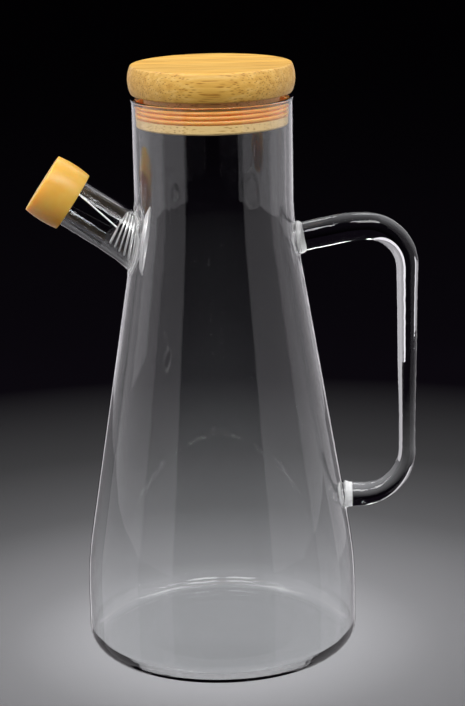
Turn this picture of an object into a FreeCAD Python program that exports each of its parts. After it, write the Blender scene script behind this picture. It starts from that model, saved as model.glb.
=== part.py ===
import FreeCAD, Part

import math
import os

import Sketcher
from FreeCAD import Placement, Rotation, Vector

# A glass oil bottle with a bamboo stopper.
#
# The bottle is one piece of blown borosilicate glass: a cone-shaped body with a straight neck, a pouring
# spout fused to one side and a solid rod handle fused to the other. A turned bamboo stopper with a ribbed
# silicone ring closes the neck, a silicone cap closes the spout, and a coil of steel wire strains the oil.
#
# Millimetres. Z is up and the bottle stands on Z = 0, with the origin at the centre of its foot.
# The spout points to -X and the handle to +X.

doc = FreeCAD.newDocument("oil_bottle")


# ---------------------------------------------------------------- driving dimensions

DIMENSIONS = [
    # the blown body
    ("foot_diameter", 100.0, "outside of the foot"),
    ("neck_diameter", 57.4, "outside of the neck"),
    ("rim_height", 204.8, "top of the glass"),
    ("shoulder_height", 32.0, "corner where the foot's wall meets the cone, before blending"),
    ("neck_length", 44.0, "rim down to the corner where the cone meets the neck, before blending"),
    ("wall", 1.35, "thickness of the blown wall"),
    ("floor_thickness", 2.4, "thickness of the base"),
    ("foot_round", 6.5, "outer rounding of the foot"),
    ("floor_round", 5.5, "inner rounding between floor and wall"),
    ("floor_dome", 0.9, "rise of the floor's middle, where the glass is thicker"),
    ("dome_reach", 29.0, "radius of that dome"),
    ("rim_lip", 0.5, "how far the melted rim stands out"),
    ("lip_height", 2.4, "height over which the rim opens out"),
    ("rim_polish", 0.57, "rounding of the melted edges at the rim and the spout's tip"),
    ("shoulder_blend", 150.0, "outer blend radius of the shoulder"),
    ("neck_blend", 110.0, "outer blend radius under the neck"),
    # the spout
    ("spout_diameter", 18.4, "outside of the spout's tube"),
    ("spout_wall", 1.4, "wall of the spout's tube"),
    ("spout_angle", 34.0, "rise of the spout above level, in degrees"),
    ("spout_drop", 7.8, "neck corner down to where the spout's axis meets the neck's outside"),
    ("spout_length", 37.2, "along the spout, from the neck's outside to the tip"),
    ("flare", 1.7, "how much wider the spout's root is, in radius"),
    ("flare_length", 17.0, "length of the flared root"),
    ("flare_reach", 10.0, "how far the flare runs out from the neck"),
    # the handle
    ("handle_reach", 69.5, "bottle axis to the middle of the upright grip"),
    ("handle_drop", 3.9, "neck corner down to the crown of the handle, at the rod's middle"),
    ("handle_foot", 55.2, "table to the middle of the lower arm"),
    ("upper_bend", 15.2, "centreline radius of the upper bend"),
    ("lower_bend", 17.0, "centreline radius of the lower bend"),
    ("arm_slope", 11.0, "rise of the top arm from the neck, in degrees"),
    ("arm_crest", 54.0, "centreline radius of the top arm's crown"),
    ("rod_upper", 10.7, "rod diameter at the neck"),
    ("rod_crown", 10.1, "rod diameter at the crown"),
    ("rod_shoulder", 8.0, "rod diameter below the upper bend"),
    ("rod_middle", 6.9, "rod diameter at the middle of the grip"),
    ("rod_heel", 6.35, "rod diameter above the lower bend"),
    ("rod_lower", 8.8, "rod diameter at the lower arm"),
    ("rod_overlap", 6.0, "how far the rod's ends run in past the wall, before the inside is cut"),
    ("bead", 0.7, "how far a fused foot stands out from the rod"),
    ("bead_length", 2.8, "length of a fused foot outside the wall"),
    # the stopper and its ring
    ("lid_diameter", 57.2, "top and bottom faces of the lid"),
    ("lid_bulge", 1.15, "how far the lid's side swells out"),
    ("lid_thickness", 10.3, "lid, face to face"),
    ("lid_round", 0.8, "rounding of the lid's edges"),
    ("lid_lift", 1.5, "gap between the glass rim and the lid"),
    ("plug_depth", 11.2, "lid's underside to the plug's lower face"),
    ("plug_land", 3.4, "bamboo band below the ring"),
    ("plug_gap", 0.3, "bamboo plug to the glass"),
    ("ring_height", 5.0, "height of the silicone ring"),
    ("ring_depth", 3.0, "ring's rib crest to the groove's floor"),
    ("ring_gap", 0.12, "silicone to what it grips"),
    ("rib_depth", 0.55, "depth of the ring's ribs"),
    # the spout's cap
    ("cap_length", 13.0, "whole length of the cap"),
    ("cap_wall", 1.9, "silicone round the spout"),
    ("cap_end", 2.2, "silicone over the spout's tip"),
    ("cap_bulge", 0.55, "how far the cap's side swells"),
    ("cap_round", 0.35, "rounding of the cap's edges"),
    ("cap_gap", 0.12, "cap to spout"),
    # the strainer's coil
    ("wire", 0.6, "wire diameter"),
    ("coil_gap", 0.25, "wire to glass"),
    ("coil_slack", 2.0, "play of the narrow end turns in the spout"),
    ("coil_reach", 8.1, "first turn's place, out along the spout from its root"),
    ("coil_lean", 27.0, "lean of the first turn from upright, in degrees"),
    ("inner_lean", 8.0, "lean of the turns inside the neck, in degrees"),
    ("entry_height", 19.9, "height of the first turn inside the neck"),
    ("inner_height", 24.6, "height of the widest turn, inside the neck"),
    ("inner_width", 20.4, "width of the widest turn"),
    ("tail_length", 21.0, "straight end of the wire, up inside the spout"),
    ("tail_back", 4.5, "point that the straight end aims at, back from the spout's tip"),
    ("tail_up", 4.8, "that point above the spout's axis"),
    ("tail_aside", 1.5, "that point off the bottle's middle plane"),
    ("tail_bend", 0.9, "corner of the straight end to where the first turn begins"),
]
SPOUT_TURNS = 6
INNER_TURNS = 5
RIBS = 3

sheet = doc.addObject("Spreadsheet::Sheet", "dims")
for row, (name, value, note) in enumerate(DIMENSIONS, start=1):
    sheet.set(f"A{row}", name)
    sheet.set(f"B{row}", str(value))
    sheet.set(f"C{row}", note)
    sheet.setAlias(f"B{row}", name)
doc.recompute()


def worked_out(expression):
    """The value of an expression on the sheet, as a plain number."""
    value = sheet.evalExpression(expression)
    return float(getattr(value, "Value", value))


# ---------------------------------------------------------------- sizes that pieces share

NECK_R = "(dims.neck_diameter / 2)"
FOOT_R = "(dims.foot_diameter / 2)"
BORE_R = f"({NECK_R} - dims.wall)"
NECK_Z = "(dims.rim_height - dims.neck_length)"
TAPER = f"atan(({FOOT_R} - {NECK_R}) / ({NECK_Z} - dims.shoulder_height))"
INSIDE_DROP = f"(dims.wall * tan({TAPER} / 2))"

# The spout's axis leaves the bottle's axis at SPOUT_Z. Lengths along it count from there.
RISE = "(dims.spout_angle * 1 deg)"
SPOUT_Z = f"({NECK_Z} - dims.spout_drop - {NECK_R} * tan({RISE}))"
SPOUT_ROOT = f"({NECK_R} / cos({RISE}))"
SPOUT_TIP = f"({SPOUT_ROOT} + dims.spout_length)"
SPOUT_R = "(dims.spout_diameter / 2)"
SPOUT_BORE_R = f"({SPOUT_R} - dims.spout_wall)"
FLARE_END = f"({SPOUT_ROOT} + dims.flare_reach)"
FLARE_START = f"({FLARE_END} - dims.flare_length)"
FLARE_BOW = "((dims.flare_length ^ 2 + dims.flare ^ 2) / (2 * dims.flare))"

# Radii of the arcs that open the rim and raise the floor.
LIP_BOW = "((dims.lip_height ^ 2 + dims.rim_lip ^ 2) / (2 * dims.rim_lip))"
DOME_BOW = "((dims.dome_reach ^ 2 + dims.floor_dome ^ 2) / (2 * dims.floor_dome))"

# The handle's centreline, from the neck out over the crown and down to the lower arm.
SLOPE = "(dims.arm_slope * 1 deg)"
CROWN_X = "(dims.handle_reach - dims.upper_bend)"
CROWN_Z = f"({NECK_Z} - dims.handle_drop)"
ARM_X = f"({CROWN_X} - dims.arm_crest * sin({SLOPE}))"
ARM_Z = f"({CROWN_Z} - dims.arm_crest * (1 - cos({SLOPE})))"
ARM_START_X = f"({NECK_R} - dims.rod_overlap)"
ARM_START_Z = f"({ARM_Z} - ({ARM_X} - {ARM_START_X}) * tan({SLOPE}))"
GRIP_TOP = f"({CROWN_Z} - dims.upper_bend)"
HEEL_X = "(dims.handle_reach - dims.lower_bend)"
HEEL_Z = "(dims.handle_foot + dims.lower_bend)"
LOWER_WALL_R = f"({FOOT_R} - (dims.handle_foot - dims.shoulder_height) * tan({TAPER}))"
LOWER_START_X = f"({LOWER_WALL_R} - dims.rod_overlap)"

# Heights of the stopper, and the radius that its ring grips.
LID_BOTTOM = "(dims.rim_height + dims.lid_lift)"
LID_TOP = f"({LID_BOTTOM} + dims.lid_thickness)"
PLUG_BOTTOM = f"({LID_BOTTOM} - dims.plug_depth)"
RING_BOTTOM = f"({PLUG_BOTTOM} + dims.plug_land)"
RING_TOP = f"({RING_BOTTOM} + dims.ring_height)"
RING_CREST_R = f"({BORE_R} - dims.ring_gap)"
GROOVE_R = f"({RING_CREST_R} - dims.ring_depth)"
PLUG_R = f"({BORE_R} - dims.plug_gap)"


def bow_radius(chord, rise):
    """Expression for the radius of an arc over a chord, with its rise at the middle."""
    return f"((({chord}) ^ 2 / 4 + ({rise}) ^ 2) / (2 * ({rise})))"


# ---------------------------------------------------------------- drawing helpers

def new_sketch(body, name, role="XZ_Plane"):
    sketch = body.newObject("Sketcher::SketchObject", name)
    plane = next(item for item in body.Origin.OriginFeatures if item.Role == role)
    sketch.AttachmentSupport = [(plane, "")]
    sketch.MapMode = "FlatFace"
    return sketch


def move_sketch(sketch, place, axis, turn):
    """Shifts a sketch on its plane and turns it about an axis, both bound to the sheet."""
    shift = Vector(*(worked_out(part) for part in place))
    sketch.AttachmentOffset = Placement(shift, Rotation(axis, worked_out(turn)))
    for letter, part in zip("xyz", place):
        if part != "0":
            sketch.setExpression(f"AttachmentOffset.Base.{letter}", part)
    if turn != "0":
        sketch.setExpression("AttachmentOffset.Rotation.Angle", turn)


def pin(sketch, geometry, end, corner):
    """Holds one end of a line or arc at a corner given as two expressions."""
    for kind, axis, expression in zip(("DistanceX", "DistanceY"), (-2, -1), corner):
        if expression == "0":
            sketch.addConstraint(Sketcher.Constraint("PointOnObject", geometry, end, axis))
        else:
            value = worked_out(expression)
            rule = sketch.addConstraint(Sketcher.Constraint(kind, -1, 1, geometry, end, value))
            sketch.setExpression(f"Constraints[{rule}]", expression)


def arc_between(start, end, radius, turn):
    """The short arc from start to end. It turns left for turn 1 and right for turn -1."""
    chord = end - start
    left = Vector(-chord.y, chord.x, 0).normalize()
    centre = (start + end) * 0.5 + left * turn * math.sqrt(radius**2 - (chord.Length / 2) ** 2)
    first, last = (start, end) if turn > 0 else (end, start)
    angles = [math.atan2(spot.y - centre.y, spot.x - centre.x) for spot in (first, last)]
    if angles[1] < angles[0]:
        angles[1] += 2 * math.pi
    return Part.ArcOfCircle(Part.Circle(centre, Vector(0, 0, 1), radius), *angles)


def draw(sketch, corners, bows=None, closed=True):
    """Joins corners by lines, or by an arc where bows gives (radius, turn) for the stretch that follows."""
    bows = bows or {}
    spots = [Vector(worked_out(x), worked_out(y), 0) for x, y in corners]
    stretches = len(corners) if closed else len(corners) - 1
    ends = []
    for index in range(stretches):
        start, end = spots[index], spots[(index + 1) % len(spots)]
        if index in bows:
            radius, turn = bows[index]
            piece = sketch.addGeometry(arc_between(start, end, worked_out(radius), turn))
            rule = sketch.addConstraint(Sketcher.Constraint("Radius", piece, worked_out(radius)))
            sketch.setExpression(f"Constraints[{rule}]", radius)
            ends.append((piece, 1, 2) if turn > 0 else (piece, 2, 1))
        else:
            ends.append((sketch.addGeometry(Part.LineSegment(start, end)), 1, 2))
        pin(sketch, ends[-1][0], ends[-1][1], corners[index])
    for index in range(stretches if closed else stretches - 1):
        here, after = ends[index], ends[(index + 1) % stretches]
        sketch.addConstraint(Sketcher.Constraint("Coincident", here[0], here[2], after[0], after[1]))
    if not closed:
        pin(sketch, ends[-1][0], ends[-1][2], corners[-1])
    return sketch


def draw_disc(sketch, diameter):
    disc = sketch.addGeometry(Part.Circle(Vector(0, 0, 0), Vector(0, 0, 1), worked_out(diameter) / 2))
    sketch.addConstraint(Sketcher.Constraint("Coincident", disc, 3, -1, 1))
    rule = sketch.addConstraint(Sketcher.Constraint("Diameter", disc, worked_out(diameter)))
    sketch.setExpression(f"Constraints[{rule}]", diameter)
    return sketch


def spin(body, name, sketch, axis="V_Axis", cut=False):
    """Turns a sketch all the way round one of its own axes, to add or to cut."""
    before = body.Tip.Shape.Volume if cut else 0
    feature = body.newObject("PartDesign::Groove" if cut else "PartDesign::Revolution", name)
    feature.Profile = sketch
    feature.ReferenceAxis = (sketch, [axis])
    feature.Angle = 360
    doc.recompute()
    if cut and not feature.Shape.Volume < before - 1:
        raise ValueError(f"{name} cut nothing")
    return feature


def round_rings(body, name, radius, *rings):
    """Fillets round edges, each given by its centre and its radius."""
    base = body.Tip
    found = []
    for centre, ring_radius in rings:
        for number, edge in enumerate(base.Shape.Edges, start=1):
            if edge.Degenerated:
                continue
            curve = edge.Curve
            if isinstance(curve, Part.Circle) and abs(curve.Radius - ring_radius) < 1e-3:
                if curve.Center.distanceToPoint(centre) < 1e-3:
                    found.append(f"Edge{number}")
    if len(found) < len(rings):
        raise ValueError(f"{name}: found {len(found)} of {len(rings)} edges")
    fillet = body.newObject("PartDesign::Fillet", name)
    fillet.Base = (base, found)
    fillet.Radius = worked_out(radius)
    fillet.setExpression("Radius", radius)
    doc.recompute()
    return fillet


def on_axis(height):
    return Vector(0, 0, worked_out(height))


def along_spout(distance, up=0.0):
    """A point in the XZ plane, at a distance along the spout's axis and a height square to it."""
    rise = math.radians(worked_out("dims.spout_angle"))
    forward = Vector(-math.cos(rise), 0, math.sin(rise))
    upward = Vector(math.sin(rise), 0, math.cos(rise))
    return on_axis(SPOUT_Z) + forward * distance + upward * up


# ---------------------------------------------------------------- the glass

def blow_body(bottle):
    """The outside of the blown body, as a solid of revolution with soft corners."""
    outline = draw(new_sketch(bottle, "body_outline"), [
        ("0", "0"),
        (FOOT_R, "0"),
        (FOOT_R, "dims.shoulder_height"),
        (NECK_R, NECK_Z),
        (NECK_R, "dims.rim_height - dims.lip_height"),
        (f"{NECK_R} + dims.rim_lip", "dims.rim_height"),
        ("0", "dims.rim_height"),
    ], {4: (LIP_BOW, -1)})
    spin(bottle, "blown_body", outline)
    neck_r, foot_r = worked_out(NECK_R), worked_out(FOOT_R)
    round_rings(bottle, "neck_blend", "dims.neck_blend", (on_axis(NECK_Z), neck_r))
    round_rings(bottle, "shoulder_blend", "dims.shoulder_blend", (on_axis("dims.shoulder_height"), foot_r))
    round_rings(bottle, "foot_round", "dims.foot_round", (on_axis("0"), foot_r))


def fuse_spout(bottle):
    """The spout's tube, which opens out like a trumpet towards the neck."""
    outline = new_sketch(bottle, "spout_outline")
    move_sketch(outline, ("0", SPOUT_Z, "0"), Vector(0, 0, 1), f"180 deg - {RISE}")
    inside = f"({SPOUT_ROOT} / 2)"
    draw(outline, [
        (inside, "0"),
        (inside, f"{SPOUT_R} + dims.flare"),
        (FLARE_START, f"{SPOUT_R} + dims.flare"),
        (FLARE_END, SPOUT_R),
        (SPOUT_TIP, SPOUT_R),
        (SPOUT_TIP, "0"),
    ], {2: (FLARE_BOW, 1)})
    spin(bottle, "spout_tube", outline, "H_Axis")


def rod_section(bottle, name, x, z, heading, diameter):
    """A round section of the handle's rod, square to its centreline."""
    sketch = new_sketch(bottle, name, "XY_Plane")
    move_sketch(sketch, (x, "0", z), Vector(0, 1, 0), f"90 deg - ({heading})")
    return draw_disc(sketch, diameter)


def fuse_handle(bottle):
    """The solid rod, thick at the arms and drawn thin at the grip, swept along one bent line."""
    line = draw(new_sketch(bottle, "handle_line"), [
        (ARM_START_X, ARM_START_Z),
        (ARM_X, ARM_Z),
        (CROWN_X, CROWN_Z),
        ("dims.handle_reach", GRIP_TOP),
        ("dims.handle_reach", HEEL_Z),
        (HEEL_X, "dims.handle_foot"),
        (LOWER_START_X, "dims.handle_foot"),
    ], {
        1: ("dims.arm_crest", -1),
        2: ("dims.upper_bend", -1),
        4: ("dims.lower_bend", -1),
    }, closed=False)
    grip_middle = f"(({GRIP_TOP} + {HEEL_Z}) / 2)"
    sections = [
        rod_section(bottle, "rod_at_neck", ARM_START_X, ARM_START_Z, SLOPE, "dims.rod_upper"),
        rod_section(bottle, "rod_at_arm", ARM_X, ARM_Z, SLOPE, "dims.rod_upper"),
        rod_section(bottle, "rod_at_crown", CROWN_X, CROWN_Z, "0 deg", "dims.rod_crown"),
        rod_section(bottle, "rod_at_shoulder", "dims.handle_reach", GRIP_TOP, "-90 deg", "dims.rod_shoulder"),
        rod_section(bottle, "rod_at_middle", "dims.handle_reach", grip_middle, "-90 deg", "dims.rod_middle"),
        rod_section(bottle, "rod_at_heel", "dims.handle_reach", HEEL_Z, "-90 deg", "dims.rod_heel"),
        rod_section(bottle, "rod_at_toe", HEEL_X, "dims.handle_foot", "-180 deg", "dims.rod_lower"),
        rod_section(bottle, "rod_at_wall", LOWER_START_X, "dims.handle_foot", "-180 deg", "dims.rod_lower"),
    ]
    rod = bottle.newObject("PartDesign::AdditivePipe", "handle_rod")
    rod.Profile = sections[0]
    rod.Spine = line
    rod.Sections = [(section, [""]) for section in sections[1:]]
    rod.Transformation = "Multisection"
    doc.recompute()


def fuse_foot(bottle, name, x, z, heading, wall_r, diameter):
    """A fused foot: the soft bead where the rod was pressed on to the wall."""
    outline = new_sketch(bottle, f"{name}_outline")
    move_sketch(outline, (x, z, "0"), Vector(0, 0, 1), heading)
    rod_r = f"({diameter} / 2)"
    at_wall = f"(({wall_r} - {x}) / cos({heading}))"
    edge = f"({at_wall} + dims.bead_length)"
    chord = "sqrt(dims.bead_length ^ 2 + (2 * dims.bead) ^ 2)"
    draw(outline, [
        ("0", "0"),
        ("0", f"{rod_r} + dims.bead"),
        (at_wall, f"{rod_r} + dims.bead"),
        (edge, f"{rod_r} - dims.bead"),
        (edge, "0"),
    ], {2: (chord, -1)})
    spin(bottle, name, outline, "H_Axis")


def hollow_body(bottle):
    """The free inside, which also trims whatever was fused on to the wall."""
    inner_r = f"({FOOT_R} - dims.wall)"
    shoulder = f"(dims.shoulder_height - {INSIDE_DROP})"
    neck = f"({NECK_Z} - {INSIDE_DROP})"
    outline = draw(new_sketch(bottle, "inside_outline"), [
        ("0", "dims.floor_thickness + dims.floor_dome"),
        ("dims.dome_reach", "dims.floor_thickness"),
        (f"{inner_r} - dims.floor_round", "dims.floor_thickness"),
        (inner_r, "dims.floor_thickness + dims.floor_round"),
        (inner_r, shoulder),
        (BORE_R, neck),
        (BORE_R, "dims.rim_height"),
        ("0", "dims.rim_height"),
    ], {0: (DOME_BOW, -1), 2: ("dims.floor_round", 1)})
    spin(bottle, "inside", outline, cut=True)
    round_rings(bottle, "inside_neck", "dims.neck_blend + dims.wall", (on_axis(neck), worked_out(BORE_R)))
    round_rings(bottle, "inside_shoulder", "dims.shoulder_blend - dims.wall",
                (on_axis(shoulder), worked_out(inner_r)))


def open_spout(bottle):
    """The spout's bore, flared where it opens into the body."""
    outline = new_sketch(bottle, "bore_outline")
    move_sketch(outline, ("0", SPOUT_Z, "0"), Vector(0, 0, 1), f"180 deg - {RISE}")
    inside = f"({SPOUT_ROOT} / 2)"
    draw(outline, [
        (inside, "0"),
        (inside, f"{SPOUT_BORE_R} + dims.flare"),
        (FLARE_START, f"{SPOUT_BORE_R} + dims.flare"),
        (FLARE_END, SPOUT_BORE_R),
        (SPOUT_TIP, SPOUT_BORE_R),
        (SPOUT_TIP, "0"),
    ], {2: (FLARE_BOW, 1)})
    spin(bottle, "spout_bore", outline, "H_Axis", cut=True)


def make_bottle():
    bottle = doc.addObject("PartDesign::Body", "glass_bottle")
    blow_body(bottle)
    fuse_spout(bottle)
    fuse_handle(bottle)
    fuse_foot(bottle, "upper_foot", ARM_START_X, ARM_START_Z, SLOPE,
              f"({FOOT_R} - ({ARM_START_Z} - dims.shoulder_height) * tan({TAPER}))", "dims.rod_upper")
    fuse_foot(bottle, "lower_foot", LOWER_START_X, "dims.handle_foot", "0 deg",
              LOWER_WALL_R, "dims.rod_lower")
    hollow_body(bottle)
    open_spout(bottle)
    rim = on_axis("dims.rim_height")
    round_rings(bottle, "rim_polish", "dims.rim_polish",
                (rim, worked_out(f"{NECK_R} + dims.rim_lip")), (rim, worked_out(BORE_R)))
    tip = along_spout(worked_out(SPOUT_TIP))
    round_rings(bottle, "tip_polish", "dims.rim_polish",
                (tip, worked_out(SPOUT_R)), (tip, worked_out(SPOUT_BORE_R)))
    return bottle


# ---------------------------------------------------------------- the stopper, its ring and the cap

def make_stopper():
    """One turned piece of bamboo: a lid with a swelling side, and a plug with a groove for the ring."""
    stopper = doc.addObject("PartDesign::Body", "bamboo_stopper")
    lid_r = "(dims.lid_diameter / 2)"
    outline = draw(new_sketch(stopper, "stopper_outline"), [
        ("0", PLUG_BOTTOM),
        (PLUG_R, PLUG_BOTTOM),
        (PLUG_R, RING_BOTTOM),
        (GROOVE_R, RING_BOTTOM),
        (GROOVE_R, LID_BOTTOM),
        (lid_r, LID_BOTTOM),
        (lid_r, LID_TOP),
        ("0", LID_TOP),
    ], {5: (bow_radius("dims.lid_thickness", "dims.lid_bulge"), 1)})
    spin(stopper, "turned_bamboo", outline)
    lid_edge = worked_out(lid_r)
    round_rings(stopper, "lid_edges", "dims.lid_round",
                (on_axis(LID_BOTTOM), lid_edge), (on_axis(LID_TOP), lid_edge),
                (on_axis(PLUG_BOTTOM), worked_out(PLUG_R)))
    return stopper


def make_ring():
    """The silicone ring, with round ribs that press on the neck."""
    ring = doc.addObject("PartDesign::Body", "seal_ring")
    rib = f"(dims.ring_height / {RIBS})"
    valley_r = f"({RING_CREST_R} - dims.rib_depth)"
    inner_r = f"({GROOVE_R} + dims.ring_gap)"
    corners = [(inner_r, RING_BOTTOM)]
    corners += [(valley_r, f"{RING_BOTTOM} + {rib} * {number}") for number in range(RIBS + 1)]
    corners += [(inner_r, RING_TOP)]
    bows = {number + 1: (bow_radius(rib, "dims.rib_depth"), 1) for number in range(RIBS)}
    spin(ring, "ribbed_ring", draw(new_sketch(ring, "ring_outline"), corners, bows))
    return ring


def make_cap():
    """The silicone cap, pushed over the spout's tip until its end touches the glass."""
    cap = doc.addObject("PartDesign::Body", "spout_cap")
    outline = new_sketch(cap, "cap_outline")
    move_sketch(outline, ("0", SPOUT_Z, "0"), Vector(0, 0, 1), f"180 deg - {RISE}")
    bore_r = f"({SPOUT_R} + dims.cap_gap)"
    outer_r = f"({bore_r} + dims.cap_wall)"
    closed_end = f"({SPOUT_TIP} + dims.cap_end)"
    open_end = f"({closed_end} - dims.cap_length)"
    draw(outline, [
        (SPOUT_TIP, "0"),
        (SPOUT_TIP, bore_r),
        (open_end, bore_r),
        (open_end, outer_r),
        (closed_end, outer_r),
        (closed_end, "0"),
    ], {3: (bow_radius("dims.cap_length", "dims.cap_bulge"), -1)})
    spin(cap, "moulded_cap", outline, "H_Axis")
    round_rings(cap, "cap_edges", "dims.cap_round",
                (along_spout(worked_out(open_end)), worked_out(outer_r)),
                (along_spout(worked_out(closed_end)), worked_out(outer_r)))
    return cap


# ---------------------------------------------------------------- the strainer's coil

def turn_of_wire(centre, height, width, lean):
    """One turn of the coil: its highest point, its lowest point and half its width."""
    upright = Vector(math.sin(math.radians(lean)), 0, math.cos(math.radians(lean)))
    return centre + upright * (height / 2), centre - upright * (height / 2), width / 2


def between(first, last, share):
    return [a + (b - a) * share for a, b in zip(first, last)]


def half_turn(start, end, half_width, side):
    """Half an oval from start to end, on the near side for -1 and the far side for 1."""
    centre = (start + end) * 0.5
    aside = Vector(0, side * half_width, 0)
    if (start - centre).Length > half_width:
        oval = Part.Ellipse(start, centre + aside, centre)
    else:
        oval = Part.Ellipse(centre - aside, start, centre)
    return Part.ArcOfEllipse(oval, oval.parameter(start), oval.parameter(end)).toShape()


def quarter_turn(low, near_side, centre):
    """A quarter of an oval between its lowest point and its near side."""
    far, close = sorted((low, near_side), key=lambda point: -(point - centre).Length)
    oval = Part.Ellipse(far, close, centre)
    return Part.ArcOfEllipse(oval, oval.parameter(far), oval.parameter(close)).toShape()


def turn_in_spout(distance, up, radius, lean):
    """A turn that fits a round bore. It is an oval, taller the more it leans across the spout's axis."""
    slant = math.radians(worked_out("dims.spout_angle") - lean)
    return turn_of_wire(along_spout(distance, up), 2 * radius / math.cos(slant), 2 * radius, lean)


def turn_in_neck(height, width):
    """A turn that lies against the neck's wall, opposite the spout's axis."""
    neck = worked_out(f"{BORE_R} - dims.wire / 2 - dims.coil_gap")
    joint = worked_out(f"{NECK_Z} - dims.spout_drop")
    centre = Vector(-math.sqrt(neck**2 - (width / 2) ** 2), 0, joint)
    return turn_of_wire(centre, height, width, worked_out("dims.inner_lean"))


def coil_turns():
    """Every turn from the spout to the inside of the neck: a narrow fan, then wider turns past the wall."""
    root = worked_out(SPOUT_ROOT)
    radius = worked_out(f"{SPOUT_BORE_R} - dims.wire / 2 - dims.coil_gap")
    slack = worked_out("dims.coil_slack") / 2
    first = turn_in_spout(root + worked_out("dims.coil_reach"), slack, radius - slack,
                          worked_out("dims.coil_lean"))
    wall = turn_in_spout(root, 0, radius, worked_out("dims.inner_lean"))
    entry = turn_in_neck(worked_out("dims.entry_height"), 2 * radius)
    last = turn_in_neck(worked_out("dims.inner_height"), worked_out("dims.inner_width"))
    turns = [between(first, wall, step / (SPOUT_TURNS - 1)) for step in range(SPOUT_TURNS)]
    turns += [between(entry, last, step / (INNER_TURNS - 1)) for step in range(INNER_TURNS)]
    return turns


def tail_edges(near_side, down):
    """The wire's straight end, and the small bend that leads from it down into the first turn."""
    setback = worked_out("dims.tail_bend")
    corner = near_side - down * setback
    far = along_spout(worked_out(f"{SPOUT_TIP} - dims.tail_back"), worked_out("dims.tail_up"))
    far -= Vector(0, worked_out("dims.tail_aside"), 0)
    away = (far - corner).normalize()
    half_angle = away.getAngle(down) / 2
    radius = setback * math.tan(half_angle)
    middle = corner + (away + down).normalize() * (radius / math.sin(half_angle) - radius)
    end = corner + away * worked_out("dims.tail_length")
    bend_start = corner + away * setback
    bend = Part.Arc(bend_start, middle, near_side).toShape()
    return [Part.makeLine(end, bend_start), bend], end, (bend_start - end).normalize()


def wire_section(start, heading):
    """The wire's round section, drawn as two halves so that the skin of every turn closes on real edges."""
    section = doc.addObject("Sketcher::SketchObject", "wire_section")
    disc = Part.Circle(Vector(0, 0, 0), Vector(0, 0, 1), worked_out("dims.wire / 2"))
    upper = section.addGeometry(Part.ArcOfCircle(disc, 0, math.pi))
    lower = section.addGeometry(Part.ArcOfCircle(disc, math.pi, 2 * math.pi))
    for half, other in ((upper, lower), (lower, upper)):
        section.addConstraint(Sketcher.Constraint("Coincident", half, 3, -1, 1))
        section.addConstraint(Sketcher.Constraint("Coincident", half, 2, other, 1))
    section.addConstraint(Sketcher.Constraint("PointOnObject", upper, 1, -1))
    rule = section.addConstraint(Sketcher.Constraint("Radius", upper, worked_out("dims.wire / 2")))
    section.setExpression(f"Constraints[{rule}]", "dims.wire / 2")
    section.Placement = Placement(start, Rotation(Vector(0, 0, 1), heading))
    return section


def make_coil():
    """The wire's centreline as lines and half ovals, and the wire swept along it."""
    turns = coil_turns()
    top, bottom, half_width = turns[0]
    centre = (top + bottom) * 0.5
    down = (bottom - top).normalize()
    near_side = centre + Vector(0, -half_width, 0)
    edges, start, heading = tail_edges(near_side, down)
    edges.append(quarter_turn(bottom, near_side, centre))
    for (_, low, half), (high, next_low, next_half) in zip(turns, turns[1:]):
        edges.append(half_turn(low, high, (half + next_half) / 2, 1))
        edges.append(half_turn(high, next_low, next_half, -1))
    line = doc.addObject("Part::Feature", "coil_line")
    line.Shape = Part.Wire(Part.__sortEdges__(edges))
    coil = doc.addObject("Part::Sweep", "strainer_spring")
    coil.Sections = [wire_section(start, heading)]
    coil.Spine = (line, [f"Edge{number + 1}" for number in range(len(line.Shape.Edges))])
    coil.Solid = True
    coil.Frenet = False
    return coil


# ---------------------------------------------------------------- build, check and write

def write_pieces(pieces):
    doc.recompute()
    for thing in doc.Objects:
        if {"Invalid", "Error"} & set(thing.State):
            raise ValueError(f"{thing.Name} failed: {thing.State}")
    os.makedirs("parts", exist_ok=True)
    for piece in pieces:
        shape = piece.Shape
        if shape.isNull() or not shape.isValid() or len(shape.Solids) != 1:
            raise ValueError(f"{piece.Name} is not one valid solid")
        piece.Label = piece.Name
        print(f"{piece.Name}: {shape.Volume:.0f} mm3")
    for piece in pieces:
        piece.Shape.exportStep(f"parts/{piece.Label}.step")


write_pieces([make_bottle(), make_stopper(), make_ring(), make_cap(), make_coil()])
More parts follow.
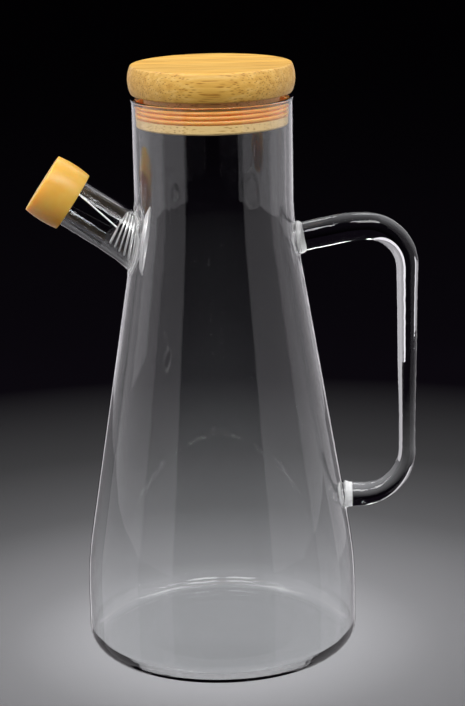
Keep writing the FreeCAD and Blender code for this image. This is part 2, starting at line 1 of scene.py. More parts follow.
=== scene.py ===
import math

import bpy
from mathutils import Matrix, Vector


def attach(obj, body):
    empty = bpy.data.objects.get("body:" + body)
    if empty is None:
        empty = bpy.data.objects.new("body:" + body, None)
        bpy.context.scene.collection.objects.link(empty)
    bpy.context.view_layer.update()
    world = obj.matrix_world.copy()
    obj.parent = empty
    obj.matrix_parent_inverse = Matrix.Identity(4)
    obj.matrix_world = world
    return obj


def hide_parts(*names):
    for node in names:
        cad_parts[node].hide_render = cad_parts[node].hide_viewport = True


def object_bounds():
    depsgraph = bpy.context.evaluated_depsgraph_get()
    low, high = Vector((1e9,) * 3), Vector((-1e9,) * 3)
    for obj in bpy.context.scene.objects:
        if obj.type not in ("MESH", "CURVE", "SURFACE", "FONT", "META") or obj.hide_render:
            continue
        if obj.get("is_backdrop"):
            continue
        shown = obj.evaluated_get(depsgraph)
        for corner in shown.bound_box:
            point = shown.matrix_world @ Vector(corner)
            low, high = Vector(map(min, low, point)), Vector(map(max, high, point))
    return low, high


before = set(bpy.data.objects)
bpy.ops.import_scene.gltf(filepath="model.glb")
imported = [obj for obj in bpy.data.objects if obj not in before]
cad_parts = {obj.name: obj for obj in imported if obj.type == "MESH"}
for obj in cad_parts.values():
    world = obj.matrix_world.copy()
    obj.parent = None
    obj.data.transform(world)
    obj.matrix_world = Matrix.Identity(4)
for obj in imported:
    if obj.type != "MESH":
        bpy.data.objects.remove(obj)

# %% [markdown]
# # A glass oil bottle with a bamboo stopper
#
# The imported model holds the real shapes: the blown bottle with its fused spout and handle, the turned
# bamboo stopper, its silicone ring, the silicone cap on the spout and the wire coil that strains the oil.
# This lesson gives each of them its finish, and stands the bottle in a small studio. Everything is in
# metres, with Z up and the origin at the centre of the bottle's foot.

MM = 0.001
CAD_LOW, CAD_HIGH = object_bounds()
CENTRE = (CAD_LOW + CAD_HIGH) / 2
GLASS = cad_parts["glass_bottle"]
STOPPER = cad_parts["bamboo_stopper"]
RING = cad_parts["seal_ring"]
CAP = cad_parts["spout_cap"]
print("whole bottle, mm:", [round((high - low) / MM, 1) for low, high in zip(CAD_LOW, CAD_HIGH)])

# %% [markdown]
# ## The camera
#
# A bottle like this is shown from a little above the middle of its height, so that the foot's ellipse and
# the top of the lid are both seen. A long lens keeps the cone's sides straight. The camera could be placed
# by hand, but a distance and a pitch from the bottle's middle are easier to change and to read. It is
# rolled by about a degree, so the bottle leans very slightly.

# %% Place the camera
VIEW_DISTANCE = 0.7696
VIEW_PITCH = math.radians(15.1)
VIEW_ROLL = math.radians(1.15)
AIM_ASIDE = 0.0056
AIM_ABOVE = 0.0022
LENS = 107.2
SENSOR = 36
NEAREST = 0.01


def put_in_scene(name, data):
    """A new object that shows this camera, lamp or mesh."""
    thing = bpy.data.objects.new(name, data)
    bpy.context.scene.collection.objects.link(thing)
    return thing


lens = bpy.data.cameras.new("studio_camera")
lens.lens = LENS
lens.sensor_width = SENSOR
lens.clip_start = NEAREST
camera = put_in_scene("studio_camera", lens)
aim = Vector((AIM_ASIDE, 0, CENTRE.z + AIM_ABOVE))
back_off = Vector((0, -math.cos(VIEW_PITCH), math.sin(VIEW_PITCH))) * VIEW_DISTANCE
tilt = Matrix.Rotation(math.pi / 2 - VIEW_PITCH, 4, "X") @ Matrix.Rotation(-VIEW_ROLL, 4, "Z")
camera.matrix_world = Matrix.Translation(aim + back_off) @ tilt
bpy.context.scene.camera = camera
print("camera at, m:", [round(v, 3) for v in camera.matrix_world.translation])

# %% [markdown]
# ## Helpers for node materials
#
# Each finish is a small graph of shader nodes. Graphs could be drawn by hand in the Shader Editor, but in
# code they can be read and changed. A few helpers keep them short: feed joins one socket or sets one value,
# add makes a node and feeds all its inputs, and the others are the nodes that these finishes use most.

# %% Start a material, add nodes and feed them
def new_finish(name):
    """A new material, its node tree and its main shader."""
    material = bpy.data.materials.new(name)
    material.use_nodes = True
    tree = material.node_tree
    return material, tree, tree.nodes["Principled BSDF"]


def feed(tree, value, socket):
    """Join a socket to this one, or set this one to a plain value."""
    if isinstance(value, bpy.types.NodeSocket):
        tree.links.new(value, socket)
    else:
        socket.default_value = value


def add(tree, kind, inputs=None, **settings):
    """A new node with these settings. Each input is a socket or a plain value."""
    node = tree.nodes.new(kind)
    for name, value in settings.items():
        setattr(node, name, value)
    for name, value in (inputs or {}).items():
        feed(tree, value, node.inputs[name])
    return node


print("a new node tree is fed by", feed.__name__, "and", add.__name__)

# %% [markdown]
# Sums on numbers place the finishes: they say how far a point is from a seam, or which strip of wood it
# lies in. Sums on vectors do the same for places and colours. A number halfway between nought and one is
# kept by name, because it tells a count of none from a count of one or more.

# %% Work with numbers, places and colours
HALFWAY = 0.5


def reckon(tree, operation, first, second=0.0):
    """A sum on two numbers. Each is a socket or a plain number."""
    return add(tree, "ShaderNodeMath", {0: first, 1: second}, operation=operation).outputs["Value"]


def vector(tree, operation, first, second):
    """A sum on two places or colours. Each is a socket or three plain numbers."""
    return add(tree, "ShaderNodeVectorMath", {0: first, 1: second}, operation=operation).outputs["Vector"]


def length(tree, arrow):
    """How long an arrow is, as from the origin to a place."""
    return add(tree, "ShaderNodeVectorMath", {0: arrow}, operation="LENGTH").outputs["Value"]


def own_place(tree):
    """Where a point lies on its own object, in metres."""
    return add(tree, "ShaderNodeTexCoord").outputs["Object"]


def noise(tree, place, detail, scale=1.0, **more):
    """Soft noise. A larger scale makes it finer, and detail adds smaller noise on top."""
    inputs = {"Vector": place, "Scale": scale, "Detail": detail, **more}
    return add(tree, "ShaderNodeTexNoise", inputs).outputs["Fac"]


def grey(value):
    """A number as a colour, for a ramp that leads to a plain number's socket."""
    return (value, value, value)


def ramp(tree, factor, stops):
    """A number turned into a colour. Each stop is a number and its colour."""
    node = add(tree, "ShaderNodeValToRGB", {"Fac": factor})
    points = node.color_ramp.elements
    while len(points) < len(stops):
        points.new(HALFWAY)
    for point, (position, colour) in zip(points, stops):
        point.position = position
        point.color = (*colour, 1)
    return node.outputs["Color"]


print("a mid grey is written", grey(HALFWAY))

# %% [markdown]
# The last helpers choose between two colours or two shaders, press a fine relief into the surface, and put
# a finish on a piece. The Mix node keeps sockets for numbers, vectors and colours side by side, so the
# colour ones are found by their kind.

# %% Choose, press a relief and dress a piece
def blend(tree, share, nought, one):
    """The first colour where share is 0 and the second where it is 1."""
    node = add(tree, "ShaderNodeMix", {"Factor": share}, data_type="RGBA")
    for value, socket in zip((nought, one), [socket for socket in node.inputs if socket.type == "RGBA"]):
        feed(tree, value, socket)
    return [socket for socket in node.outputs if socket.type == "RGBA"][0]


def choose(tree, share, nought, one):
    """The first shader where share is 0 and the second where it is 1, sent to the surface."""
    mixed = add(tree, "ShaderNodeMixShader", {0: share, 1: nought, 2: one})
    feed(tree, mixed.outputs["Shader"], tree.nodes["Material Output"].inputs["Surface"])


def press_relief(tree, shader, height, strength, depth):
    """Make the shader's skin rise where height is larger, by this depth in metres."""
    relief = add(tree, "ShaderNodeBump", {"Height": height, "Strength": strength, "Distance": depth})
    feed(tree, relief.outputs["Normal"], shader.inputs["Normal"])


def dress(piece, material):
    piece.data.materials.clear()
    piece.data.materials.append(material)
    print(piece.name, "wears", material.name)


print("pieces to dress:", [piece.name for piece in (GLASS, STOPPER, RING, CAP)])

# %% [markdown]
# ## The floor
#
# The bottle stands on a plain pale floor that falls away into shade, so that the clear glass shows bright
# against it higher up. The shade could come from a lamp close by, but then the bottle's own light would
# change with it. Here the shade is painted into the colour of one large round sheet, and depends only on the
# distance from the bottle, so it looks the same from every side. The floor isn't mirrored in the glass, so
# that the light bands run down to the foot.

# %% Make the floor
FLOOR_RADIUS = 6.0
FLOOR_SIDES = 64
FLOOR_DROP = 0.0004


def flat_sheet(name, corners):
    """One flat face that belongs to the studio, not to the bottle."""
    mesh = bpy.data.meshes.new(name)
    mesh.from_pydata(corners, [], [list(range(len(corners)))])
    sheet = put_in_scene(name, mesh)
    sheet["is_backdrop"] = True
    return sheet


turns_round = [math.tau * step / FLOOR_SIDES for step in range(FLOOR_SIDES)]
rim = [(math.cos(turn) * FLOOR_RADIUS, math.sin(turn) * FLOOR_RADIUS, 0) for turn in turns_round]
floor = flat_sheet("floor", rim)
floor.location.z = CAD_LOW.z - FLOOR_DROP
floor.visible_glossy = False
print("floor radius, m:", FLOOR_RADIUS)

# %% [markdown]
# The floor's paint is matt, with no shine at all. Each stop of its painted shade is a distance from the
# bottle's middle and a share of the pale colour.

# %% Paint the floor
FLOOR_PALE = (0.3, 0.3, 0.31)
FLOOR_SHADE = (0.0024, 0.0018, 0.003)
FLOOR_PAINTED_FADE = ((0.04, 1.0), (0.08, 0.58), (0.15, 0.26), (0.23, 0.11))
FLOOR_SHADE_AT = 0.36
MATT = 0.9

floor_paint, tree, shader = new_finish("pale_floor_painted_shade")
fade = [(reach, tuple(share * part for part in FLOOR_PALE)) for reach, share in FLOOR_PAINTED_FADE]
fade.append((FLOOR_SHADE_AT, FLOOR_SHADE))
# painted shade: the floor's colour goes from pale under the bottle to dark further away
feed(tree, ramp(tree, length(tree, own_place(tree)), fade), shader.inputs["Base Color"])
shader.inputs["Roughness"].default_value = MATT
shader.inputs["Specular IOR Level"].default_value = 0.0
dress(floor, floor_paint)

# %% [markdown]
# ## The air
#
# Glass shows what stands round it. Dark air makes its edges and bands stand out, but dark air alone would
# leave the wood and the silicone with deep shadows. So the air is dark where it is seen, directly or in
# glass and metal, and gives a soft even light to everything else. A ray that has already met a matt surface
# gets the light.

# %% Fill the air with light
AIR_SEEN = (0.0035, 0.0025, 0.0045, 1)
AIR_LIGHT = (0.17, 0.17, 0.172, 1)

world = bpy.data.worlds.new("studio_air")
bpy.context.scene.world = world
world.use_nodes = True
tree = world.node_tree
path = add(tree, "ShaderNodeLightPath").outputs
seen = reckon(tree, "MAXIMUM", path["Is Camera Ray"], path["Is Glossy Ray"])
seen = reckon(tree, "MAXIMUM", seen, path["Is Transmission Ray"])
before_matt = reckon(tree, "LESS_THAN", path["Diffuse Depth"], HALFWAY)
air = blend(tree, reckon(tree, "MULTIPLY", seen, before_matt), AIR_LIGHT, AIR_SEEN)
feed(tree, air, tree.nodes["Background"].inputs["Color"])
print("air light:", AIR_LIGHT[:3])

# %% [markdown]
# ## The soft boxes
#
# Eight tall soft boxes stand round the bottle, four on each side, from below the floor to well above the
# lid. Their reflections are the upright bands on the cone and the neck, and the narrow strips at the back
# draw the bright lines along the edges. A gap in front and one behind leave the middle of the glass dark.
#
# A plain lamp would also be seen through the hollow bottle, as a pale patch with hard edges. So each box is
# two things in one place: a lamp, which lights the wood, the silicone and the floor, and a glowing sheet,
# which only glass and metal see. The sheet shows in reflections and through the solid handle. A ray that
# has crossed more than three skins of glass and met no reflection came straight through the hollow body,
# and for such a ray the sheet is clear.

# %% Make a glowing sheet
BOX_TINT = (1.0, 0.965, 1.02)
HOLLOW_CROSSING = 3.5


def sheet_glow(name, glow):
    """Light on the front of a sheet, for reflections and for solid glass."""
    material, tree, shader = new_finish(name)
    tree.nodes.remove(shader)
    path = add(tree, "ShaderNodeLightPath").outputs
    mirrored = reckon(tree, "GREATER_THAN", path["Glossy Depth"], HALFWAY)
    in_solid = reckon(tree, "LESS_THAN", path["Transmission Depth"], HOLLOW_CROSSING)
    back = add(tree, "ShaderNodeNewGeometry").outputs["Backfacing"]
    front = reckon(tree, "LESS_THAN", back, HALFWAY)
    shown = reckon(tree, "MULTIPLY", reckon(tree, "MAXIMUM", mirrored, in_solid), front)
    clear = add(tree, "ShaderNodeBsdfTransparent").outputs["BSDF"]
    lit = add(tree, "ShaderNodeEmission", {"Color": (*BOX_TINT, 1), "Strength": glow}).outputs["Emission"]
    choose(tree, shown, clear, lit)
    material.cycles.emission_sampling = "NONE"
    return material


def glowing_sheet(name, lamp, glow):
    """A sheet in the lamp's place and of its size, that faces the bottle."""
    aside = lamp.data.size / 2
    up = lamp.data.size_y / 2
    sheet = flat_sheet(name, [(-aside, -up, 0), (-aside, up, 0), (aside, up, 0), (aside, -up, 0)])
    sheet.location = lamp.location
    sheet.rotation_euler = lamp.rotation_euler
    sheet.visible_camera = False
    sheet.visible_diffuse = False
    sheet.visible_shadow = False
    sheet.data.materials.append(sheet_glow(name, glow))


print("a sheet is clear after this many skins of glass:", math.ceil(HOLLOW_CROSSING))

# %% [markdown]
# Every lamp is a rectangle that faces the bottle. Its power grows with its area, so that glow is how bright
# its face looks, whatever its size. Directions are in degrees round from the camera, to the right.

# %% Make a lamp and a soft box
def lamp_round(name, turn, away, height, size, glow, looks_at):
    """A lamp of a width and a height, away from the bottle's axis, that looks at a point."""
    data = bpy.data.lights.new(name, "AREA")
    data.shape = "RECTANGLE"
    data.size, data.size_y = size
    data.energy = glow * math.pi * size[0] * size[1]
    lamp = put_in_scene(name, data)
    angle = math.radians(turn)
    lamp.location = (math.sin(angle) * away, -math.cos(angle) * away, height)
    lamp.rotation_euler = (lamp.location - looks_at).to_track_quat("Z", "Y").to_euler()
    lamp.visible_camera = False
    print(name, "gives", round(data.energy, 2), "W")
    return lamp


def soft_box(name, turn, away, low, high, width, glow):
    """An upright lamp from one height to another, with a glowing sheet in its place."""
    middle = (low + high) / 2
    box = lamp_round(name, turn, away, middle, (width, high - low), glow, Vector((0, 0, middle)))
    box.data.color = BOX_TINT
    box.visible_glossy = False
    box.visible_transmission = False
    glowing_sheet(name + "_face", box, glow)


# %% [markdown]
# The boxes are given by the directions that they fill, and by their glow. The rear ones are the brightest
# of the wide ones. A small one close behind the handle draws the long light line down its grip.

# %% Stand the soft boxes round the bottle
BOX_AWAY = 0.44
BOX_FOOT = -0.5
BOX_TOP = 0.95
BOXES = (
    ("left_front_box", -71, -40, 0.40),
    ("left_rear_box", -120, -71.5, 0.68),
    ("left_far_box", -151, -120.5, 0.36),
    ("left_edge_strip", -159, -152, 0.95),
    ("right_front_box", 43, 87, 0.40),
    ("right_rear_box", 87.5, 122, 0.68),
    ("right_far_box", 122.5, 152, 0.36),
    ("right_edge_strip", 153, 160, 0.95),
)

for name, first, last, glow in BOXES:
    width = 2 * BOX_AWAY * math.tan(math.radians(last - first) / 2)
    soft_box(name, (first + last) / 2, BOX_AWAY, BOX_FOOT, BOX_TOP, width, glow)
soft_box("grip_box", turn=120, away=0.173, low=-0.3, high=0.17, width=0.075, glow=0.5)

# %% [markdown]
# ## The high lamps
#
# Six wide lamps hang high all round the bottle. They light the lid and the floor, and they draw the bright
# arc on the rounding inside the foot. The two in front of the bottle are the strongest, and the gap between
# them leaves a small dark notch in the middle of that arc.

# %% Hang the high lamps
HIGH_AWAY = 0.66
HIGH_UP = 0.92
HIGH_SIZE = (0.6, 0.26)
HIGH_LAMPS = (("front", 32, 10.0), ("side", 92, 3.5), ("rear", 148, 4.5))

for side, hand in ((-1, "left"), (1, "right")):
    for part, turn, glow in HIGH_LAMPS:
        lamp_round(f"high_{part}_{hand}", side * turn, HIGH_AWAY, HIGH_UP, HIGH_SIZE, glow, CENTRE)

# %% [markdown]
# ## Glass
#
# The bottle is clear borosilicate glass, blown and then worked in a flame. Where the two ends of the handle
# were pressed on while soft, and in a thinner line round the seam where the spout was fused on, the glass is
# made milky white: partly the cloudiness of worked glass, partly a painted highlight for the bright light
# caught in these thick joints. These marks could be painted on, but a distance from the joint gives them
# clean edges and puts them in the right place. Each mark has two distances: it is full within the smaller
# one and gone past the larger one.

# %% Mark the cloudy joints and their painted highlights
HANDLE_FEET = ((0.0301, 0, 0.1531), (0.0477, 0, 0.0552))
FOOT_SQUASH = (3.2, 1.0, 1.0)
FOOT_CLOUD_AND_HIGHLIGHT = (0.0052, 0.0072)
SPOUT_JOINT = (-0.0287, 0, 0.1530)
SPOUT_AXIS = (-0.82904, 0, 0.55919)
SEAM_RADIUS = 0.0108
SEAM_CLOUD_AND_HIGHLIGHT = (0.0004, 0.0011)
SEAM_EDGE = -0.0238
SEAM_SHARE = 0.6


def within(tree, distance, near_and_far):
    """One where the distance is less than near, and nought where it is more than far."""
    near, far = near_and_far
    inputs = {"Value": distance, "From Min": far, "From Max": near}
    return add(tree, "ShaderNodeMapRange", inputs, interpolation_type="SMOOTHSTEP").outputs["Result"]


def cloudy_highlit_foot(tree, place, spot):
    """The flat disc where an end of the handle was pressed on, milky white as cloudy glass and a painted
    highlight.
    """
    squashed = vector(tree, "MULTIPLY", vector(tree, "SUBTRACT", place, spot), FOOT_SQUASH)
    return within(tree, length(tree, squashed), FOOT_CLOUD_AND_HIGHLIGHT)


def cloudy_highlit_seam(tree, place):
    """The melted seam round the spout's root, on the spout's side of the neck only, milky white as cloudy
    glass and a painted highlight.
    """
    off_axis = vector(tree, "CROSS_PRODUCT", vector(tree, "SUBTRACT", place, SPOUT_JOINT), SPOUT_AXIS)
    from_seam = reckon(tree, "ABSOLUTE", reckon(tree, "SUBTRACT", length(tree, off_axis), SEAM_RADIUS))
    along_x = add(tree, "ShaderNodeSeparateXYZ", {0: place}).outputs["X"]
    spout_side = reckon(tree, "LESS_THAN", along_x, SEAM_EDGE)
    return reckon(tree, "MULTIPLY", within(tree, from_seam, SEAM_CLOUD_AND_HIGHLIGHT), spout_side)


glass_finish, tree, shader = new_finish("clear_borosilicate_glass")
place = own_place(tree)
# the milky white of the joints is partly cloudy glass and partly a painted highlight
feet = reckon(tree, "MAXIMUM", *[cloudy_highlit_foot(tree, place, spot) for spot in HANDLE_FEET])
seam = reckon(tree, "MULTIPLY", cloudy_highlit_seam(tree, place), SEAM_SHARE)
cloud_and_highlight = reckon(tree, "MAXIMUM", feet, seam)
print("cloudy joints:", len(HANDLE_FEET), "on the handle and one on the spout")

# %% [markdown]
# Elsewhere the glass is smooth, and its skin keeps a very slight waviness from blowing. The milky joints,
# partly cloudy glass and partly painted highlight, are rougher and let less through, so they show white.
# Clear glass also lets the studio's light through to the floor and to the pieces inside. Blender would stop
# those rays at the wall, so the ones that go from a matt surface to a lamp or to the air pass straight
# through instead, and the bottle keeps a pale shadow.

# %% Finish the glass
GLASS_TINT = (0.985, 0.992, 0.992, 1)
GLASS_IOR = 1.47
CLOUD_AND_HIGHLIGHT_STRENGTH = 0.55
WAVE_SIZE = 45.0
WAVE_STRENGTH = 1.0
WAVE_DEPTH = 0.00006
PASSING_TINT = (0.985, 0.988, 0.988, 1)

shader.inputs["Base Color"].default_value = GLASS_TINT
shader.inputs["IOR"].default_value = GLASS_IOR
# painted highlight: less transmission turns the joints white, standing in for light caught in them
milky = reckon(tree, "MULTIPLY", cloud_and_highlight, CLOUD_AND_HIGHLIGHT_STRENGTH)
feed(tree, milky, shader.inputs["Roughness"])
feed(tree, reckon(tree, "SUBTRACT", 1, milky), shader.inputs["Transmission Weight"])
press_relief(tree, shader, noise(tree, place, detail=1.0, scale=WAVE_SIZE), WAVE_STRENGTH, WAVE_DEPTH)

path = add(tree, "ShaderNodeLightPath").outputs
passing = reckon(tree, "MAXIMUM", path["Is Shadow Ray"], path["Is Diffuse Ray"])
open_glass = add(tree, "ShaderNodeBsdfTransparent", {"Color": PASSING_TINT}).outputs["BSDF"]
choose(tree, passing, shader.outputs["BSDF"], open_glass)
dress(GLASS, glass_finish)

# %% [markdown]
# ## Bamboo
#
# The stopper is turned from a block of glued bamboo strips whose fibres all run from left to right. Each
# fibre is a thin dark thread in honey-coloured wood. On the top, the threads show as long fine lines. On
# the left and right of the side they are cut across and show as dots, and in the middle as short dashes.
# Cells stretched along the fibres give all of these from one pattern, as in the real wood. The colour is
# built in three layers: soft streaks, a tone of its own for each strip, and the dark threads.

# %% Lay out the bamboo's streaks, strips and threads
STRIP_WIDTH = 0.0062
STREAK_LENGTH = 0.06
STREAK_WIDTH = 0.0016
FIBRE_PITCH = 0.00062
FIBRE_LENGTH = 0.022
STREAK_TONES = [(0.25, (0.66, 0.34, 0.055)), (0.5, (0.82, 0.48, 0.1)), (0.72, (0.92, 0.60, 0.18))]
STRIP_TONES = [(0.0, (0.80, 0.78, 0.76)), (1.0, (1.03, 1.01, 0.97))]
THREAD_TONES = [(0.16, (0.56, 0.43, 0.28)), (0.38, (1, 1, 1))]


def stretched(tree, place, along, across):
    """Places counted in units of a length along the fibres, which is X, and another one across them."""
    return vector(tree, "MULTIPLY", place, (1 / along, 1 / across, 1 / across))


bamboo_finish, tree, shader = new_finish("turned_bamboo")
place = own_place(tree)
split = add(tree, "ShaderNodeSeparateXYZ", {0: place}).outputs
streaks = noise(tree, stretched(tree, place, STREAK_LENGTH, STREAK_WIDTH), detail=4.0, Roughness=0.6)
strip_number = reckon(tree, "FLOOR", reckon(tree, "DIVIDE", split["Y"], STRIP_WIDTH))
strips = add(tree, "ShaderNodeTexWhiteNoise", {"W": strip_number}, noise_dimensions="1D").outputs["Value"]
cells = {"Vector": stretched(tree, place, FIBRE_LENGTH, FIBRE_PITCH), "Scale": 1.0, "Randomness": 1.0}
threads = add(tree, "ShaderNodeTexVoronoi", cells).outputs["Distance"]
print("strips across the lid:", math.ceil(STOPPER.dimensions.y / STRIP_WIDTH))

# %% [markdown]
# The lid has the deeper colour of finished wood. The plug below it is painted paler, as painted light that
# stands in for the reflections of the glass in front of it. A satin sheen varies with the streaks, and a
# very fine relief follows the threads.

# %% Finish the bamboo
PLUG_WOOD_PAINTED_PALER = (1.0, 0.72, 0.32, 1)
LID_UNDERSIDE = 0.206
WOOD_SHEEN = [(0.3, grey(0.44)), (0.7, grey(0.33))]
THREAD_STRENGTH = 0.5
THREAD_DEPTH = 0.00006

on_lid = reckon(tree, "GREATER_THAN", split["Z"], LID_UNDERSIDE)
# painted light: the plug's wood is painted paler than the lid's, for the glass's reflections over it
wood = blend(tree, on_lid, PLUG_WOOD_PAINTED_PALER, ramp(tree, streaks, STREAK_TONES))
wood = vector(tree, "MULTIPLY", wood, ramp(tree, strips, STRIP_TONES))
wood = vector(tree, "MULTIPLY", wood, ramp(tree, threads, THREAD_TONES))
feed(tree, wood, shader.inputs["Base Color"])
feed(tree, ramp(tree, streaks, WOOD_SHEEN), shader.inputs["Roughness"])
press_relief(tree, shader, threads, THREAD_STRENGTH, THREAD_DEPTH)
dress(STOPPER, bamboo_finish)

# %% [markdown]
# ## Silicone
#
# The ring and the cap are moulded from peach-coloured silicone rubber. It is soft and slightly milky: light
# goes a few millimetres into it and comes out warmer, so thin edges glow. A plain orange would look like
# hard plastic, so the finish lets light spread inside it, further in the thick cap than in the thin ring.
# The cap's peach is painted lighter than the ring's, as painted light for the brighter light on the cap.
# Its skin has a satin sheen with a fine mottle from the mould.

# %% Finish the silicone
RING_PEACH = ((0.95, 0.365, 0.085), (0.98, 0.415, 0.115))
RING_GLOW_DEPTH = 0.003
# painted light: the same silicone as the ring, painted lighter and yellower for the brighter light on the cap
CAP_PEACH_PAINTED_LIGHTER = ((1.0, 0.43, 0.075), (1.0, 0.475, 0.1))
CAP_GLOW_DEPTH = 0.01
MOTTLE_SIZE = 260.0
MOTTLE_LOW = 0.3
MOTTLE_HIGH = 0.7
SATIN_SIZE = 1400.0
SATIN_SHEEN = [(MOTTLE_LOW, grey(0.28)), (MOTTLE_HIGH, grey(0.38))]
SATIN_STRENGTH = 0.25
SATIN_DEPTH = 0.00003
SILICONE_IOR = 1.41
MILKINESS = 0.8
MILKY_SPREAD = (1.0, 0.45, 0.2)


def silicone(name, darker, lighter, depth):
    """Soft peach silicone between two close colours, with light that goes this deep into it, in metres."""
    material, tree, shader = new_finish(name)
    place = own_place(tree)
    mottle = noise(tree, place, detail=3.0, scale=MOTTLE_SIZE)
    peach = [(MOTTLE_LOW, darker), (MOTTLE_HIGH, lighter)]
    feed(tree, ramp(tree, mottle, peach), shader.inputs["Base Color"])
    feed(tree, ramp(tree, mottle, SATIN_SHEEN), shader.inputs["Roughness"])
    shader.inputs["Subsurface Weight"].default_value = MILKINESS
    shader.inputs["Subsurface Radius"].default_value = MILKY_SPREAD
    shader.inputs["Subsurface Scale"].default_value = depth
    shader.inputs["IOR"].default_value = SILICONE_IOR
    satin = noise(tree, place, detail=2.0, scale=SATIN_SIZE)
    press_relief(tree, shader, satin, SATIN_STRENGTH, SATIN_DEPTH)
    return material


dress(RING, silicone("ribbed_ring_silicone", *RING_PEACH, RING_GLOW_DEPTH))
dress(CAP, silicone("cap_silicone_painted_lighter", *CAP_PEACH_PAINTED_LIGHTER, CAP_GLOW_DEPTH))

# %% [markdown]
# ## The coil of steel wire
#
# The strainer is one length of drawn stainless wire. It starts with a straight end up inside the spout, fans
# out in six narrow turns to the neck's wall, and ends in five wider turns inside the neck. A ready-made
# helix would miss the fan, so the turns are worked out one by one, in millimetres. The tube below follows
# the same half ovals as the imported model, with even rings of faces, so that the bright wire shows clean
# highlights. Each turn is given by its highest point, its lowest point and half its width.

# %% Find the spout's axis
RISE = math.radians(34)
NECK_R = 28.7
WALL = 1.35
SPOUT_BORE_R = 7.8
SPOUT_LENGTH = 37.2
JOINT_Z = 153.0
SPOUT_ROOT = NECK_R / math.cos(RISE)
SPOUT_TIP = SPOUT_ROOT + SPOUT_LENGTH
SPOUT_Z = JOINT_Z - NECK_R * math.tan(RISE)


def along_spout(distance, up=0.0):
    """A point in the bottle's middle plane, at a distance along the spout and a height square to it."""
    return Vector((-distance * math.cos(RISE) + up * math.sin(RISE), 0,
                   SPOUT_Z + distance * math.sin(RISE) + up * math.cos(RISE)))


print("spout's tip, mm:", [round(v, 1) for v in along_spout(SPOUT_TIP)])

# %% [markdown]
# A turn that leans across a round bore is an oval: the more it leans, the taller it is. The turns inside
# the neck lie against its wall. Between the first and the last turn of each group, the turns change evenly.

# %% Work out the turns
WIRE_R = 0.3
GAP = 0.25
SLACK = 1.0
FAN_REACH = 8.1
FAN_LEAN = 27
INNER_LEAN = 8
ENTRY_HEIGHT = 19.9
INNER_HEIGHT = 24.6
INNER_WIDTH = 20.4
SPOUT_TURNS = 6
INNER_TURNS = 5


def turn_of_wire(centre, height, width, lean):
    """Its highest point, its lowest point and half its width. It leans from upright by some degrees."""
    upright = Vector((math.sin(math.radians(lean)), 0, math.cos(math.radians(lean))))
    return centre + upright * (height / 2), centre - upright * (height / 2), width / 2


def turn_in_spout(distance, up, radius, lean):
    """A turn that fits a round bore."""
    slant = RISE - math.radians(lean)
    return turn_of_wire(along_spout(distance, up), 2 * radius / math.cos(slant), 2 * radius, lean)


def turn_in_neck(height, width):
    """A turn that lies against the neck's wall, behind the spout."""
    inside = NECK_R - WALL - WIRE_R - GAP
    centre = Vector((-math.sqrt(inside ** 2 - (width / 2) ** 2), 0, JOINT_Z))
    return turn_of_wire(centre, height, width, INNER_LEAN)


def fan(first, last, count):
    """Turns that change evenly from the first to the last."""
    return [[a + (b - a) * (step / (count - 1)) for a, b in zip(first, last)] for step in range(count)]


bore = SPOUT_BORE_R - WIRE_R - GAP
first_turn = turn_in_spout(SPOUT_ROOT + FAN_REACH, SLACK, bore - SLACK, FAN_LEAN)
wall_turn = turn_in_spout(SPOUT_ROOT, 0, bore, INNER_LEAN)
turns = fan(first_turn, wall_turn, SPOUT_TURNS)
entry_turn = turn_in_neck(ENTRY_HEIGHT, 2 * bore)
turns += fan(entry_turn, turn_in_neck(INNER_HEIGHT, INNER_WIDTH), INNER_TURNS)
print("turns of wire:", len(turns))

# %% [markdown]
# The wire's straight end runs up the spout and stops a few millimetres short of the cap. At its foot a
# small bend leads down into the first turn. The bend is a round arc that touches both the straight end and
# the turn. The line is traced from the free end, a point for each millimetre.

# %% Trace the straight end and its bend
TAIL_LENGTH = 21.0
TAIL_STEP = 1.0
TAIL_BACK = 4.5
TAIL_UP = 4.8
TAIL_ASIDE = 1.5
TAIL_BEND = 0.9
BEND_STEPS = 6
TURN_STEPS = 20


def arc(centre, start, aside, angle, steps):
    """Points round an oval from start, through aside a quarter turn on. The first point is left out."""
    return [centre + (start - centre) * math.cos(angle * step / steps)
            + (aside - centre) * math.sin(angle * step / steps) for step in range(1, steps + 1)]


top, bottom, half_width = turns[0]
middle = (top + bottom) / 2
near_side = middle + Vector((0, -half_width, 0))
down = (bottom - top).normalized()
corner = near_side - down * TAIL_BEND
target = along_spout(SPOUT_TIP - TAIL_BACK, TAIL_UP) - Vector((0, TAIL_ASIDE, 0))
away = (target - corner).normalized()
spread = away.angle(down)
bend_start = corner + away * TAIL_BEND
bend_radius = TAIL_BEND * math.tan(spread / 2)
bend_centre = corner + (away + down).normalized() * (bend_radius / math.sin(spread / 2))
line = [corner + away * (TAIL_LENGTH - TAIL_STEP * step) for step in range(int(TAIL_LENGTH / TAIL_STEP))]
line.append(bend_start)
line += arc(bend_centre, bend_start, bend_centre - away * bend_radius, math.pi - spread, BEND_STEPS)
print("points along the straight end:", len(line))

# %% [markdown]
# From there the line goes round in half ovals. It climbs the far side from the lowest point of one turn to
# the highest point of the next, and comes down the near side again.

# %% Trace the turns
line += arc(middle, near_side, bottom, math.pi / 2, TURN_STEPS // 2)
for (_, low, half), (high, next_low, next_half) in zip(turns, turns[1:]):
    far_side = (low + high) / 2 + Vector((0, (half + next_half) / 2, 0))
    line += arc((low + high) / 2, low, far_side, math.pi, TURN_STEPS)
    close_side = (high + next_low) / 2 - Vector((0, next_half, 0))
    line += arc((high + next_low) / 2, high, close_side, math.pi, TURN_STEPS)
print("points along the wire:", len(line))

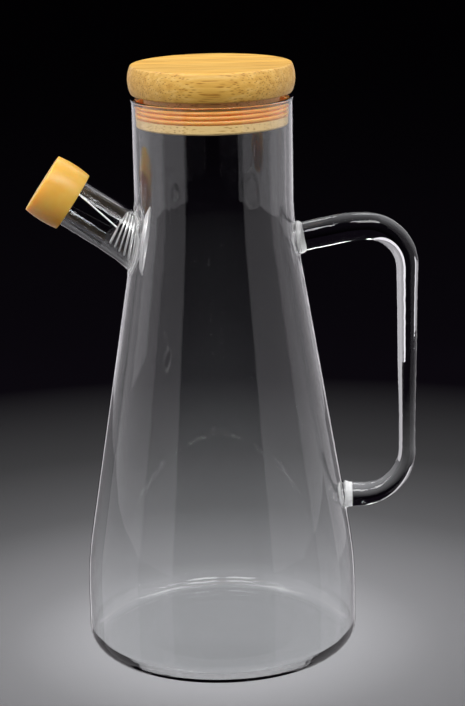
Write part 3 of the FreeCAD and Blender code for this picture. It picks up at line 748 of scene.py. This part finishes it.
# %% [markdown]
# The wire's skin could come from a curve with a round bevel, but a tube made ring by ring keeps its faces
# even, closes both ends and carries a map that runs round it and along it, in metres. Each ring is turned
# as little as possible from the one before, so that the tube doesn't twist.

# %% Wrap rings of points round a line
RING_SIDES = 12


def tube_points(line, radius, sides):
    """The points of every ring, in metres."""
    points = []
    across = (line[1] - line[0]).normalized().orthogonal().normalized()
    for number, point in enumerate(line):
        ahead = (line[min(number + 1, len(line) - 1)] - line[max(number - 1, 0)]).normalized()
        across = (across - ahead * across.dot(ahead)).normalized()
        other = ahead.cross(across)
        for side in range(sides):
            angle = math.tau * side / sides
            points.append((point + (across * math.cos(angle) + other * math.sin(angle)) * radius) * MM)
    return points


def tube_faces(rings, sides):
    """Four-sided faces between the rings, and one face on each end."""
    faces = []
    for low in range(0, (rings - 1) * sides, sides):
        high = low + sides
        for side in range(sides):
            following = (side + 1) % sides
            faces.append((low + side, low + following, high + following, high + side))
    last = (rings - 1) * sides
    return faces + [tuple(reversed(range(sides))), tuple(range(last, last + sides))]


skin = bpy.data.meshes.new("strainer_wire")
skin.from_pydata(tube_points(line, WIRE_R, RING_SIDES), [], tube_faces(len(line), RING_SIDES))
wire = put_in_scene("strainer_wire", skin)
print("faces on the wire:", len(skin.polygons))

# %% [markdown]
# The map is unrolled from the tube. On the strip of faces where the ring closes, the last side counts as
# one whole turn instead of nought, so that the map doesn't run back.

# %% Map the tube and put it in the model
def map_tube(mesh, line, sides):
    """Give each corner its share of a turn round the tube and its metres along it."""
    lengths = [0.0]
    for before, after in zip(line, line[1:]):
        lengths.append(lengths[-1] + (after - before).length * MM)
    layer = mesh.uv_layers.new(name="drawn")
    for face in mesh.polygons:
        face.use_smooth = len(face.vertices) == 4
        closes = any(vertex % sides == sides - 1 for vertex in face.vertices)
        for corner_index, vertex in zip(face.loop_indices, face.vertices):
            side = vertex % sides
            if side == 0 and closes:
                side = sides
            layer.data[corner_index].uv = (side / sides, lengths[vertex // sides])
    return lengths[-1]


wire_length = map_tube(skin, line, RING_SIDES)
skin.validate()
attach(wire, "root")
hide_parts("strainer_spring")
print("length of the wire, mm:", round(wire_length / MM))

# %% [markdown]
# Drawn wire has a bright skin with very fine lines along its length, left by the die. Noise that is
# stretched along the map draws them, and they follow every bend.

# %% Finish the wire
WIRE_METAL = 0.7
DIE_LINES = (24, 90, 1)
WIRE_TONES = [(0.3, grey(0.78)), (0.7, grey(0.94))]
WIRE_SHEEN = [(0.3, grey(0.45)), (0.7, grey(0.3))]

wire_finish, tree, shader = new_finish("drawn_steel_wire")
shader.inputs["Metallic"].default_value = WIRE_METAL
drawn = add(tree, "ShaderNodeUVMap", uv_map="drawn").outputs["UV"]
die_lines = noise(tree, vector(tree, "MULTIPLY", drawn, DIE_LINES), detail=2.0)
feed(tree, ramp(tree, die_lines, WIRE_TONES), shader.inputs["Base Color"])
feed(tree, ramp(tree, die_lines, WIRE_SHEEN), shader.inputs["Roughness"])
dress(wire, wire_finish)

# %% [markdown]
# ## The end
#
# The Standard view shows colours as they are written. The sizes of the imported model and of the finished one
# are written side by side, to show that nothing has grown.

# %% Set the view, write the sizes and finish
bpy.context.scene.view_settings.view_transform = "Standard"
low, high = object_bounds()
print("finished bottle, mm:", [round((far - near) / MM, 1) for near, far in zip(low, high)])
